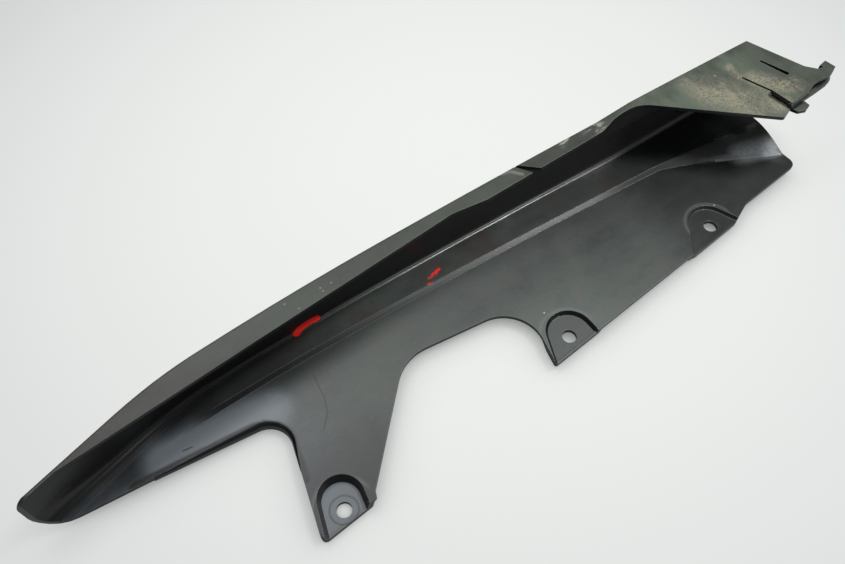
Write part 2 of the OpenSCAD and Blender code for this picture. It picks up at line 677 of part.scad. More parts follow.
// The break that runs across the flange and a little way down the top wall
module flange_break() {
    edge = -flange_late_y - over;
    wall_top = outer_y(break_x);
    translate([0, 0, flange_z(break_x) - break_depth - skin]) linear_extrude(sheet_z)
        polygon([[break_x + break_gap * 2, edge], [break_x - break_gap, edge],
                 [break_x - break_slant, wall_top + over],
                 [break_x - break_slant + break_tip * 2, wall_top + over]]);
}

// Side view of the nose: everything in front of this outline is cut away
module nose_front() {
    low = panel_rise - skin;
    rounded_front = arc_at([panel_length, nose_height, 0], [0, nose_height, nose_corner_radius],
        [0, nose_height / 2, 0]);
    chin = arc_at([0, nose_height, 0], [0, low, nose_chin_radius], [panel_length, low, 0]);
    translate([0, over, 0]) rotate([90, 0, 0]) linear_extrude(sheet_y)
        polygon(concat([[-2 * over, sheet_z], [nose_corner_radius, sheet_z]],
            rounded_front, chin, [[nose_chin_radius, -over], [-2 * over, -over]]));
}
// Slanted end of the top wall between the end of the panel and the end of the plate
module wall_end() {
    low = panel_rise + strip_z(panel_length);
    translate([0, sheet_y, 0]) rotate([90, 0, 0]) linear_extrude(sheet_y + skin * 4)
        polygon([[panel_length, -over], [panel_length, low],
                 [plate_end_x, plate_top - skin - over], [plate_end_x + sheet_z, plate_top],
                 [plate_end_x + sheet_z, -over]]);
}

module chain_guard() {
    color("#2a2c2e") translate([part_x, part_y, 0]) difference() {
        union() {
            difference() {
                intersection() {
                    channel_sheet();
                    union() {
                        trim_block(panel_outline, -over, split_z + bite);
                        trim_block(flange_outline, split_z, sheet_z);
                    }
                }
                nose_front();
                wall_end();
                tongue_cuts();
            }
            rolled_edge();
            intersection() {
                union() for (s = seats) seat_body(s);
                trim_block(panel_outline, -over, panel_rise);
            }
            clip_jaws();
        }
        for (s = seats) seat_recess(s);
        for (s = seats) seat_hole(s);
        flange_break();
    }
}

chain_guard();
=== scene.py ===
# %% [markdown]
# # A used chain guard for a motorcycle
# This lesson dresses one moulded part: a long black plastic channel that has been ridden,
# scratched, marked with paint and put down on a white sheet. The solid comes packed, at its
# real size and in metres, so nothing here has to be measured again. What is left to do is
# the finish: how dusty plastic takes the light, where mud has dried and what time has done
# to the edges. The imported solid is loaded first, because every mark is placed by its frame.

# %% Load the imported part
import math
from functools import reduce

import bpy
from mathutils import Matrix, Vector


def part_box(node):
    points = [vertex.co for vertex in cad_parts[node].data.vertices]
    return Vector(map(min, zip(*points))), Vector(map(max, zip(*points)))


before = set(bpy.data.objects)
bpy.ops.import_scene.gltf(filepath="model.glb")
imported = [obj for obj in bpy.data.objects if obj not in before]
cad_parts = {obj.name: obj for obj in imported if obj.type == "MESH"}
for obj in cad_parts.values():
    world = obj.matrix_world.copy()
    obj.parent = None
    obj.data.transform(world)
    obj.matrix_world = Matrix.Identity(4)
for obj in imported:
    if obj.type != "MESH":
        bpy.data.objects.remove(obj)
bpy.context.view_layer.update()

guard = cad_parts["chain_guard"]
low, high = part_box("chain_guard")
print("the guard is", [round((b - a) * 1000) for a, b in zip(low, high)], "mm")

# %% [markdown]
# ## The camera
# The photograph looks down on the part from above its lower edge, and the part lies
# slanted across the picture. A long and low part changes its outline quickly with the
# height of the lens, so the camera is set by its place and its tilt rather than by a
# point to look at. It stands 424 mm above the ground and is tilted 34 degrees from
# looking straight down.

# %% Camera
CAMERA_PLACE = (-0.188063, -0.187254, 0.424)
CAMERA_TILT = 34.0
CAMERA_TURN = -34.8245
SENSOR_WIDTH = 36.0
PICTURE_WIDTH = 845
FOCAL_LENGTH_IN_PIXELS = 800

camera_data = bpy.data.cameras.new("camera")
camera_data.sensor_width = SENSOR_WIDTH
camera_data.lens = SENSOR_WIDTH * FOCAL_LENGTH_IN_PIXELS / PICTURE_WIDTH
camera = bpy.data.objects.new("camera", camera_data)
camera.location = CAMERA_PLACE
camera.rotation_euler = (math.radians(CAMERA_TILT), 0, math.radians(CAMERA_TURN))
bpy.context.scene.collection.objects.link(camera)
bpy.context.scene.camera = camera
print("the camera looks down at", 90 - CAMERA_TILT, "degrees")

# %% [markdown]
# ## Writing a finish as a sum
# A worn finish is a heap of masks: here is dust, there is a scratch, and the rest is bare.
# Joined by hand, such a heap takes hundreds of links. One small class wraps a socket
# and lets Python's own signs add the Math nodes, so that a mask reads like the sum that it
# is. A mask is 1 where its mark lies and 0 elsewhere, and `rise` and `between` make one
# with soft edges out of any measure. Colours don't go through Math nodes, which would turn
# them grey, but through Mix.

# %% A socket that can be used in sums
class Wire:
    """The output of a node in a finish."""

    def __init__(self, finish, socket):
        self.finish = finish
        self.socket = socket

    def math(self, operation, *values, clamp=False):
        return self.finish.add("ShaderNodeMath", {
            "operation": operation, "use_clamp": clamp}, dict(enumerate(values)))

    def __add__(self, other):
        return self.math("ADD", self, other)

    def __radd__(self, other):
        return self.math("ADD", other, self)

    def __sub__(self, other):
        return self.math("SUBTRACT", self, other)

    def __rsub__(self, other):
        return self.math("SUBTRACT", other, self)

    def __mul__(self, other):
        return self.math("MULTIPLY", self, other)

    def __rmul__(self, other):
        return self.math("MULTIPLY", other, self)

    def __truediv__(self, other):
        return self.math("DIVIDE", self, other)

    def __rtruediv__(self, other):
        return self.math("DIVIDE", other, self)

    def least(self, other):
        return self.math("MINIMUM", self, other)

    def most(self, other):
        return self.math("MAXIMUM", self, other)

    def root(self):
        return self.math("SQRT", self)

    def kept(self):
        """The same value, kept between 0 and 1."""
        return self.math("ADD", self, 0.0, clamp=True)

    def rise(self, start, end):
        """0 at start, 1 at end, with soft shoulders; start may be above end."""
        return self.finish.add("ShaderNodeMapRange", {"interpolation_type": "SMOOTHSTEP"}, {
            "Value": self, "From Min": start, "From Max": end}, "Result")

    def between(self, start, end, soft):
        """1 between start and end and 0 outside, over a soft edge."""
        return self.rise(start - soft, start + soft) * self.rise(end + soft, end - soft)


def distance(across, up):
    """How far a point is from the place that both wires are measured from."""
    squared = across * across + up * up
    return squared.root()


def highest(masks):
    return reduce(Wire.most, masks)


print("sums on sockets are ready")

# %% [markdown]
# ## One finish, and one way to add any other node
# `Finish` holds the node tree of one material. Its `add` takes a node's type, its settings
# and the values or links of its sockets, in that order, because some settings change which
# sockets a node has. `noise`, `blend` and `stroke` are the three things that this part's
# marks ask for most: unevenness, a colour laid over a colour, and a soft line drawn through
# points. A finish is placed by the object's own coordinates, so it can't slide over the
# part when the part is moved or seen from another side.

# %% A finish and its node maker
# The Mix node has the same socket names for numbers and colours, so they go by number.
MIX_SHARE = 0
MIX_UNDER = 6
MIX_OVER = 7
MIX_COLOUR = 2


class Finish:
    """One material, with the place of a point and the way that its face looks."""

    def __init__(self, name):
        self.material = bpy.data.materials.new(name)
        self.material.use_nodes = True
        self.tree = self.material.node_tree
        self.shader, self.output = (
            next(node for node in self.tree.nodes if node.type == kind)
            for kind in ("BSDF_PRINCIPLED", "OUTPUT_MATERIAL"))
        self.place = self.add("ShaderNodeTexCoord", {}, {}, "Object")
        self.x, self.y, self.z = self.add(
            "ShaderNodeSeparateXYZ", {}, {"Vector": self.place}, "X", "Y", "Z")
        self.normal = self.add("ShaderNodeNewGeometry", {}, {}, "Normal")
        self.facing_back, self.facing_up = self.add(
            "ShaderNodeSeparateXYZ", {}, {"Vector": self.normal}, "Y", "Z")

    def plug(self, socket, value):
        if isinstance(value, Wire):
            self.tree.links.new(value.socket, socket)
        else:
            socket.default_value = value

    def add(self, kind, settings, sockets, *outputs):
        """Adds a node; gives a wire for each output that is named, or for the first."""
        node = self.tree.nodes.new(kind)
        for name, value in settings.items():
            setattr(node, name, value)
        for name, value in sockets.items():
            self.plug(node.inputs[name], value)
        wires = [Wire(self, node.outputs[name]) for name in outputs or (0,)]
        return wires[0] if len(wires) == 1 else wires

    def noise(self, scale, detail=4, roughness=0.6, stretch=(1, 1, 1), turn=0):
        moved = self.add("ShaderNodeMapping", {}, {
            "Vector": self.place, "Scale": stretch, "Rotation": (0, 0, math.radians(turn))})
        return self.add("ShaderNodeTexNoise", {}, {
            "Vector": moved, "Scale": scale, "Detail": detail, "Roughness": roughness}, "Fac")

    def blend(self, share, under, over):
        """Lays one colour over another; where share is 0, only the lower one shows."""
        return self.add("ShaderNodeMix", {"data_type": "RGBA"}, {
            MIX_SHARE: share, MIX_UNDER: under, MIX_OVER: over}, MIX_COLOUR)

    def from_line(self, start, end, plane):
        """How far a point is from the line between start and end."""
        across, up = plane[0] - start[0], plane[1] - start[1]
        run, climb = end[0] - start[0], end[1] - start[1]
        share = ((across * run + up * climb) / (run ** 2 + climb ** 2)).kept()
        return distance(across - share * run, up - share * climb)

    def stroke(self, points, width, soft=0.9, plane=None):
        """1 on a line through the points; plane holds the two wires it is drawn on."""
        plane = plane or (self.x, self.y)
        nearest = reduce(Wire.least, [
            self.from_line(start, end, plane) for start, end in zip(points, points[1:])])
        return nearest.rise(width / 2 * (1 + soft), width / 2 * (1 - soft))


print("finishes can be written")

# %% [markdown]
# ## The moulding
# The real part is one injection-moulded channel, so it stays one object here. The packed
# solid already has its shape, and its long faces are flat strips. Two things make it
# look moulded instead of cut: faces that meet at a shallow angle are shaded as one smooth
# skin, and sharp edges catch a thin line of light. The first is done by a small geometry
# tree, which joins the corners again and smooths every edge under a set angle. Smoothing
# alone would bend the light on a large flat face beside a curve, so a second modifier
# weighs each corner's normal by the size of its faces. Both are modifiers, so the packed
# mesh stays as it was.

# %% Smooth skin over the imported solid
SMOOTH_ANGLE = 32.0
WELD_DISTANCE = 1e-6
STRONGEST_WEIGHT = 100


def smooth_skin(piece, angle):
    tree = bpy.data.node_groups.new("smooth_skin", "GeometryNodeTree")
    for way in ("INPUT", "OUTPUT"):
        tree.interface.new_socket("Geometry", in_out=way, socket_type="NodeSocketGeometry")
    start, end = tree.nodes.new("NodeGroupInput"), tree.nodes.new("NodeGroupOutput")
    plain = tree.nodes.new("GeometryNodeRemoveAttribute")
    plain.inputs["Name"].default_value = "custom_normal"
    weld = tree.nodes.new("GeometryNodeMergeByDistance")
    weld.inputs["Distance"].default_value = WELD_DISTANCE
    faces, edges = (tree.nodes.new("GeometryNodeSetShadeSmooth") for _ in range(2))
    faces.domain, edges.domain = "FACE", "EDGE"
    edges.inputs["Shade Smooth"].default_value = False
    corner = tree.nodes.new("GeometryNodeInputMeshEdgeAngle")
    sharp = tree.nodes.new("FunctionNodeCompare")
    sharp.data_type, sharp.operation = "FLOAT", "GREATER_THAN"
    sharp.inputs["B"].default_value = math.radians(angle)
    for source, target in ((start.outputs[0], plain.inputs["Geometry"]),
                           (plain.outputs[0], weld.inputs["Geometry"]),
                           (weld.outputs[0], faces.inputs["Geometry"]),
                           (faces.outputs[0], edges.inputs["Geometry"]),
                           (corner.outputs["Unsigned Angle"], sharp.inputs["A"]),
                           (sharp.outputs[0], edges.inputs["Selection"]),
                           (edges.outputs[0], end.inputs[0])):
        tree.links.new(source, target)
    skin = piece.modifiers.new("smooth_skin", "NODES")
    skin.node_group = tree
    flats = piece.modifiers.new("flat_faces_stay_flat", "WEIGHTED_NORMAL")
    flats.mode, flats.weight, flats.keep_sharp = "FACE_AREA", STRONGEST_WEIGHT, True


smooth_skin(guard, SMOOTH_ANGLE)
print("edges under", SMOOTH_ANGLE, "degrees are smooth")

# %% [markdown]
# ## Colours as a screen shows them
# A shader wants light, not screen values, so a colour that is picked has to be turned
# into light first. One small helper does that, and every colour below is then written as
# the grey, brown or red that somebody would point at.

# %% Colours
def tone(*screen):
    """A screen colour of three numbers up to 255, as the light that a shader wants."""
    light = [c / 255 / 12.92 if c < 11 else ((c / 255 + 0.055) / 1.055) ** 2.4 for c in screen]
    return (*light, 1.0)


BLACK_PLASTIC = tone(19, 19, 20)
print("bare plastic sends back", round(BLACK_PLASTIC[1] * 100, 1), "% of the light")

# %% [markdown]
# ## Uneven in many sizes
# Nothing on a used part is even, and what makes it so comes in sizes. Clouds a hand wide
# come from handling, blotches a thumb wide from drops that dried, streaks along the part
# from the air stream, and the fine grain from the mould. Each size is one noise, stretched
# along the way that it runs, and the same few are used again for every mark below.

# %% Noises for the plastic
plastic = Finish("black_moulding")
cloud = plastic.noise(7, 3, 0.55)
patch = plastic.noise(26)
mottle = plastic.noise(95, stretch=(0.6, 1, 1), turn=8)
streak = plastic.noise(55, 5, stretch=(0.14, 1, 1), turn=4)
smear = plastic.noise(48, stretch=(1, 0.6, 1), turn=35)
worn = plastic.noise(520)
grain = plastic.noise(1500, 3)
print("seven noises, from clouds to grain, are ready")

# %% [markdown]
# ## The guard's regions
# Dust and rain sort themselves by height, by place along the part and by how a face looks.
# The x axis runs from the nose to the tail, y from the tabs to the closed wall, and z up
# from the ground. Panel, strip, flange and plate lie at heights of their own, so one soft
# step in z tells them apart, without a map drawn over the surface.

# %% Heights and places
on_panel = plastic.z.rise(0.0105, 0.0095)
on_strip = plastic.x.between(-0.172, 0.150, 0.0004) * plastic.z.between(0.0103, 0.0125, 0.0004)
on_flange = plastic.z.rise(0.034, 0.039)
under_flange = 1 - on_flange
upward = plastic.facing_up.rise(0.70, 0.99)
# towards_tail and at_tail also thin the film below, which darkens the tail as painted shade
towards_tail = plastic.x.rise(0.00, 0.12) * under_flange
at_tail = plastic.x.rise(0.10, 0.155) * under_flange
towards_nose = plastic.x.rise(-0.10, -0.17) * on_panel
# painted shade: the wall's shadow on the strip, where the film is thinned
wall_shade = plastic.y.rise(-0.030, 0.035) * under_flange
nose_shade = plastic.x.rise(-0.06, -0.14) * plastic.y.rise(0.020, 0.042) * under_flange
foot_shade = plastic.x.rise(-0.07, -0.11) * plastic.y.rise(0.000, -0.045) * under_flange
in_front_seat = (
    plastic.x.between(-0.165, -0.120, 0.0008) * plastic.z.between(0.001, 0.0035, 0.0008))
# painted shade: the film is thinned in these seats, which darkens the recesses
in_back_seat = (
    plastic.x.between(-0.010, 0.180, 0.0006) * plastic.z.between(0.0030, 0.0072, 0.0006))
print("panel, strip, flange and seats can be told apart")

# %% [markdown]
# ## Painted sheen, shade and highlight
# Three places don't follow a height. A pale band on the panel beside the first arch is a
# painted sheen, that arch's rolled edge is darkened as painted shade, and the crease where the
# strip turns up into the wall gets a pale line, a painted highlight with some dust, which
# fades out towards both ends. The first two are strokes through a few points. The crease is
# found by its slope, which lies between the flat strip and the steep wall.

# %% Band, rolled edge and crease
SHEEN_BAND_POINTS = ((-0.2100, 0.0285), (-0.1892, 0.0266), (-0.1594, 0.0241), (-0.1490, 0.0210))
ROLLED_EDGE = ((-0.2300, 0.0224), (-0.1941, 0.0198), (-0.1700, 0.0176), (-0.1618, 0.0168),
               (-0.1551, 0.0147), (-0.1499, 0.0100), (-0.1472, 0.0033), (-0.1471, -0.0010),
               (-0.1500, -0.0150), (-0.1525, -0.0260))
# painted sheen: a pale band on the panel beside the first arch
sheen_band = on_panel * plastic.stroke(SHEEN_BAND_POINTS, 0.020)
# painted shade along the first arch's rolled edge
rolled = on_panel * plastic.stroke(ROLLED_EDGE, 0.0046, soft=0.6)

# painted highlight with some dust: a pale line in the crease that fades out towards both ends
creased = plastic.facing_up.rise(0.25, 0.55) * plastic.facing_up.rise(0.98, 0.93)
beside_wall = (plastic.x.between(-0.13, 0.28, 0.001) * plastic.y.between(0.030, 0.0585, 0.001)
               * plastic.z.between(0.0095, 0.020, 0.001))
crease_ends = plastic.x.rise(-0.13, -0.03) * (1 - 0.8 * plastic.x.rise(0.06, 0.14))
crease_highlight_and_dust = creased * beside_wall * crease_ends
print("the band has", len(SHEEN_BAND_POINTS), "points, the rolled edge", len(ROLLED_EDGE))

# %% [markdown]
# ## Black plastic under a film
# The plastic is black all through. What makes the photographed faces grey is a satin skin
# that mirrors the pale ceiling, and a film of road dust that lies on faces that look up.
# The wall under the flange stays black. A second shader could be mixed over the plastic,
# but so thin a film only tints the skin, so it goes into the base colour. It is one sum: an
# even share, made uneven by the noises. It is thinned as painted shade towards the tail, on
# the strip where the wall's shadow falls, under the flange towards the nose, near the first
# tab, inside the back seats and along the rolled edge of the first arch. It is thinner on the
# flange and at the clip. It is thickened by a painted sheen on a pale band beside the first
# arch, by a painted highlight with some dust in the crease, and inside the front seat. Its
# tint follows the place: grey on the mounting panel, bluish towards the nose, brown on the
# raised strip, greenish on the flange and browner at the flange's nose end.

# %% Where the film lies
film = 0.52 + 0.45 * cloud.rise(0.3, 0.7) + 0.45 * (patch - 0.5)
film = film + 0.9 * (mottle - 0.5) + 0.5 * (worn - 0.5)
# painted shade: the film thins towards the tail, near the tail and on the strip in the wall's
# shadow
film = film * (1 - 0.45 * towards_tail) * (1 - 0.65 * at_tail) * (1 - 0.35 * wall_shade)
# painted shade: thinner film under the flange towards the nose and near the first tab
film = film * (1 - 0.9 * nose_shade) * (1 - 0.8 * foot_shade)
film = film * (1 - on_flange * (0.45 + 0.15 * plastic.x.rise(-0.12, -0.24)))
# painted shade inside the back seats and a painted sheen on the pale band; the front seat gets
# more film
film = film * (1 - 0.5 * in_back_seat) + sheen_band + 0.8 * in_front_seat
plate_smear = on_flange * (0.05 + 0.6 * smear.rise(0.36, 0.62)) * plastic.x.rise(0.12, 0.17)
at_clip = on_flange * plastic.x.rise(0.225, 0.245)
# painted shade: less film along the rolled edge
film = (film + plate_smear) * (1 - 0.45 * at_clip) * (1 - 0.85 * rolled)
# the painted highlight in the crease is added to the film
film = (upward * film + 0.7 * crease_highlight_and_dust).kept()
print("the film follows the way a face looks")

# %% Tints of the film
GREY_FILM = tone(65, 75, 69)
PALE_BLOTCH = tone(67, 66, 63)
BLUE_FILM = tone(70, 77, 82)
SHEEN_BAND_TINT = tone(100, 107, 112)
FRONT_SEAT_PALE = tone(86, 93, 98)
BROWN_FILM = tone(62, 52, 46)
GREEN_FILM = tone(73, 82, 69)
NOSE_BROWN = tone(76, 69, 64)
ROLLED_EDGE_SHADE = tone(10, 11, 12)

tint = GREY_FILM
for share, over in ((0.6 * mottle.rise(0.5, 0.62), PALE_BLOTCH),
                    (towards_nose, BLUE_FILM),
                    # painted sheen: the colour of the pale band beside the first arch
                    (sheen_band, SHEEN_BAND_TINT),
                    # the front seat is tinted paler
                    (in_front_seat, FRONT_SEAT_PALE),
                    (0.8 * on_strip * patch.rise(0.5, 0.62), BROWN_FILM),
                    (on_flange, GREEN_FILM),
                    (0.7 * on_flange * plastic.x.rise(-0.13, -0.21), NOSE_BROWN)):
    tint = plastic.blend(share, tint, over)
colour = plastic.blend(film, BLACK_PLASTIC, tint)
# painted shade: the rolled edge is darkened
colour = plastic.blend(0.7 * rolled, colour, ROLLED_EDGE_SHADE)
print("the tints are laid over the black")

# %% [markdown]
# ## Dried mud on the plate
# Spray from the wheel has dried on the wide plate at the tail, thickest in the hollow
# beside the sprung tongue. Lumps could be modelled, but dried spray is thinner than paper,
# so colour, roughness and bump are enough. Mud is never one flat patch, so a broad zone
# drawn by strokes is broken up by two sizes of noise.

# %% Mud
DRY_MUD = tone(134, 128, 108)
MUD_PATCHES = (  # the points of a stroke, its width, and how thick the mud is
    (((0.2240, 0.0420), (0.2210, 0.0340), (0.2225, 0.0290)), 0.0050, 1.0),
    (((0.1978, 0.0340), (0.2047, 0.0228), (0.2129, 0.0077)), 0.0230, 1.0),
    (((0.1900, 0.0450), (0.1960, 0.0440)), 0.0120, 0.55),
    (((0.2290, 0.0230), (0.2350, 0.0130)), 0.0130, 0.8),
    (((0.2329, 0.0072), (0.2430, 0.0035)), 0.0110, 1.0),
    (((0.2129, 0.0060), (0.2240, -0.0035)), 0.0090, 0.8))
crumb = plastic.noise(850, 4, 0.7, stretch=(0.6, 1, 1), turn=-30)
zone = highest([thickness * plastic.stroke(points, width)
                for points, width, thickness in MUD_PATCHES])
on_plate = plastic.z.rise(0.0535, 0.055) * upward
mud = on_plate * zone * (0.35 + 0.75 * smear.rise(0.36, 0.56))
mud = (mud * (0.30 + 0.9 * crumb.rise(0.40, 0.60))).kept()
colour = plastic.blend(0.85 * mud, colour, DRY_MUD)
print("mud lies in", len(MUD_PATCHES), "patches on the plate")

# %% [markdown]
# ## Scuffs and scratches
# Black plastic goes pale where it is rubbed, because a torn surface scatters light. Pale
# scuffs sit on the flange where a strap or a boot has passed, fine ones lie in the band of
# painted sheen beside the first arch, and the plastic has turned white beside the break. A
# deep, clean scratch is the other way round and shows dark, as the two on the panel do. All
# are strokes, and the pale ones are broken up by a noise that is stretched along the way of
# rubbing.

# %% Scuffs on the flange
SCUFFED = tone(150, 150, 138)
STRESS_WHITE = tone(120, 122, 112)
rub = plastic.noise(260, 5, 0.65, stretch=(0.35, 1, 1), turn=-24)
scuffs = highest([plastic.stroke(((0.0893, 0.0552), (0.0948, 0.0567)), 0.005),
                  plastic.stroke(((0.1100, 0.0547), (0.1187, 0.0530)), 0.007)])
scuffs = on_flange * upward * scuffs * rub.rise(0.47, 0.6)
colour = plastic.blend(0.8 * scuffs, colour, SCUFFED)

beside_break = plastic.stroke(((0.0420, 0.0590), (0.0483, 0.0571), (0.0530, 0.0510)), 0.0022)
white_stress = on_flange * beside_break * (0.5 + worn)
colour = plastic.blend(0.6 * white_stress, colour, STRESS_WHITE)
print("the flange is scuffed and the break is whitened")

# %% Scratches and fine scuffs on the panel
SCRATCHED = tone(20, 20, 20)
BRUSHED = tone(128, 134, 138)
below_strip = plastic.z.rise(0.012, 0.010)
curved = plastic.stroke(((-0.1173, 0.0248), (-0.1193, 0.0090), (-0.1226, 0.0008),
                         (-0.1298, -0.0075)), 0.0009, soft=0.8)
short = plastic.stroke(((-0.1997, 0.0261), (-0.1946, 0.0254)), 0.0008, soft=0.8)
scratches = below_strip * curved.most(short)
colour = plastic.blend(0.8 * scratches, colour, SCRATCHED)

hairlines = plastic.noise(420, 3, stretch=(0.05, 1, 1), turn=4)
brushed = hairlines.rise(0.56, 0.66) * patch.rise(0.45, 0.6) * sheen_band * upward
colour = plastic.blend(0.45 * brushed, colour, BRUSHED)
print("scratches and hairlines lie on the panel")

# %% [markdown]
# ## Painted highlight and dust on the flare
# At the tail the strip widens into a flare, and its slope gets a pale band with a sharper line
# along its foot, a painted highlight with some dust. The band is two broad strokes, made
# grainy by the finest wear, and it fades in from the strip's end. The line is one thin stroke.

# %% Painted highlight and dust on the flare
FLARE_SHEEN_AND_DUST = tone(150, 157, 160)
slope = highest([
    plastic.stroke(((0.1880, 0.0150), (0.2016, 0.0088), (0.2150, 0.0030)), 0.0034),
    plastic.stroke(((0.2130, 0.0040), (0.2380, -0.0045)), 0.0110)])
slope = slope * (0.3 + 1.2 * worn) * plastic.x.rise(0.180, 0.228)
foot_line = plastic.stroke(
    ((0.1980, 0.0095), (0.2170, -0.0001), (0.2400, -0.0116)), 0.0016, soft=0.8)
flare_sheen_and_dust = slope.most(foot_line) * under_flange * plastic.facing_up.rise(0.2, 0.5)
# painted highlight with some dust on the flare
colour = plastic.blend(0.9 * flare_sheen_and_dust.kept(), colour, FLARE_SHEEN_AND_DUST)
print("dust clings to the flare")

# %% [markdown]
# ## Painted rim highlights and washer prints
# Round each seat the moulding swells to a low, rounded rim, and a painted highlight makes it
# a little paler than the panel. Washers have left a dark ring round the first and the last
# hole. Strokes could go round in many points, but a ring is simpler: it is all that lies at
# one distance from the hole. The highlight is painted only on the side towards the panel, so
# it is also cut off by its height above the hole.

# %% Painted highlights on the rims, and washer prints
RIM_HIGHLIGHT = tone(104, 110, 108)
WASHER_PRINT = tone(18, 19, 20)
WASHER_RADIUS = 0.0078
SEATS = (  # the hole's place, the rim's radius, and if a washer has left its print
    (-0.143673, -0.050384, 0.0152, True),
    (0.023027, -0.038784, 0.0167, False),
    (0.154527, -0.027984, 0.0160, True))
rims, prints = [], []
for hole_x, hole_y, radius, washer in SEATS:
    above = plastic.y - hole_y
    away = distance(plastic.x - hole_x, above)
    ring = away.rise(radius, radius + 0.0006) * away.rise(radius + 0.0032, radius + 0.0008)
    rims.append(ring * above.rise(-0.002, 0.004))
    if washer:
        prints.append(away.rise(WASHER_RADIUS - 0.0008, WASHER_RADIUS)
                      * away.rise(WASHER_RADIUS + 0.0010, WASHER_RADIUS + 0.0002))
rim = highest(rims) * plastic.z.rise(0.0078, 0.0083) * below_strip
washer_print = highest(prints) * plastic.z.rise(0.0078, 0.0073) * upward
# painted highlight on the rims
colour = plastic.blend(0.30 * rim, colour, RIM_HIGHLIGHT)
colour = plastic.blend(0.65 * washer_print, colour, WASHER_PRINT)
print(len(rims), "rims and", len(prints), "washer prints are drawn round the holes")

# %% [markdown]
# ## Chips and specks
# Stones have left five small pale chips on the flange, each where the photograph shows it,
# so they are dots at given points. The fine specks that are strewn over everything that
# looks up have no such places. They come from Voronoi cells: a speck is the middle of a
# cell, and only the few cells whose random colour is high enough have one.

# %% Chips and specks
SPECK = tone(170, 172, 165)
CELLS_PER_METRE = 95.0
CHIPS = ((-0.1089, 0.0470), (-0.0924, 0.0518), (-0.0921, 0.0491), (-0.0855, 0.0512),
         (-0.1144, 0.0541))
chips = highest([distance(plastic.x - chip_x, plastic.y - chip_y).rise(0.0008, 0.0003)
                 for chip_x, chip_y in CHIPS]) * on_flange * upward
colour = plastic.blend(0.3 * chips, colour, SPECK)

from_middle, cell_colour = plastic.add("ShaderNodeTexVoronoi", {}, {
    "Vector": plastic.place, "Scale": CELLS_PER_METRE}, "Distance", "Color")
chance = plastic.add("ShaderNodeSeparateColor", {}, {"Color": cell_colour})
specks = upward * from_middle.rise(0.075, 0.04) * chance.rise(0.86, 0.88)
colour = plastic.blend(0.75 * specks, colour, SPECK)
print(len(CHIPS), "chips are placed and specks are strewn")

# %% [markdown]
# ## Red paint
# Somebody has marked the part with a red paint pen: one short curved dab on the wall under
# the flange, and a few crumbs of worn paint on the strip. They are plain dabs. The one on
# the wall sits in the corner where wall and strip meet, so it is drawn along the corner and
# up it, and only on faces that look into the channel, so that it can't show through on the
# wall's outer side.

# %% Paint marks
RED_PAINT = tone(244, 36, 22)
CORNER_Y = 0.0555
up_the_corner = plastic.z + (plastic.y - CORNER_Y)
dab = plastic.stroke(((-0.1117, 0.0099), (-0.1090, 0.0118), (-0.1050, 0.0127),
                      (-0.1005, 0.0130), (-0.0973, 0.0123)), 0.0052, soft=0.15,
                     plane=(plastic.x, up_the_corner))
dab = dab * plastic.facing_back.rise(0.5, 0.1) * plastic.y.between(0.0518, 0.0580, 0.0003)
crumbs = highest([
    plastic.stroke(((-0.0205, 0.0418), (-0.0185, 0.0425), (-0.0150, 0.0442)), 0.0026, soft=0.5),
    0.5 * plastic.stroke(((-0.0240, 0.0415), (-0.0205, 0.0418)), 0.0018, soft=0.6),
    0.4 * plastic.stroke(((-0.0272, 0.0382), (-0.0235, 0.0378)), 0.0018, soft=0.6)])
crumbs = crumbs * on_strip * worn.rise(0.42, 0.54)
paint = dab.most(crumbs)
colour = plastic.blend(paint, colour, RED_PAINT)
print("two paint marks are dabbed on")

# %% [markdown]
# ## Edges that catch the light
# On the real part every edge is rounded by a few tenths of a millimetre, and a thin pale
# line runs along it. The Bevel node rounds the shading there. Where its normal leaves the
# face's own normal there is an edge, and a lighter tone is painted on it, mostly where it
# looks up: a painted highlight, with some rubbed wear.

# %% Painted highlight and wear on edges
EDGE_HIGHLIGHT_AND_WEAR = tone(120, 126, 122)
EDGE_HIGHLIGHT_RADIUS = 0.0008
BEVEL_SAMPLES = 6
rounded = plastic.add("ShaderNodeBevel", {"samples": BEVEL_SAMPLES}, {"Radius": EDGE_HIGHLIGHT_RADIUS})
same = plastic.add("ShaderNodeVectorMath", {"operation": "DOT_PRODUCT"}, {
    0: rounded, 1: plastic.normal}, "Value")
edges = (1 - same).rise(0.01, 0.10) * plastic.facing_up.rise(-0.1, 0.4)
# painted highlight with some wear along the edges that look up
colour = plastic.blend(0.35 * edges * (0.4 + patch), colour, EDGE_HIGHLIGHT_AND_WEAR)
print("edges are rubbed")

# %% [markdown]
# ## Gloss and relief
# The last step turns the same masks into touch. Grain and streaks stand up a little, mud
# and paint lie on top and scratches are cut in, all through one Bump node, and a second
# Bevel node rounds the edges of what comes out. The skin is satin: glossier on the curved
# faces of the crease and towards the tail, and duller on flat faces, on the flare and
# wherever mud or a scuff lies.

# %% Relief
ROUNDED_RADIUS = 0.0006
RELIEF = {"Strength": 0.16, "Distance": 0.0005}
sloping = plastic.facing_up.rise(0.15, 0.30) * plastic.facing_up.rise(0.985, 0.95)
height = (0.6 * grain + 0.5 * streak) * (1 - sloping)
height = height + 1.2 * mud + 0.3 * paint - 0.8 * scratches
bump = plastic.add("ShaderNodeBump", {}, {**RELIEF, "Height": height})
edge = plastic.add("ShaderNodeBevel", {"samples": BEVEL_SAMPLES}, {
    "Radius": ROUNDED_RADIUS, "Normal": bump})
print("edges are rounded by", round(ROUNDED_RADIUS * 1000, 1), "mm")

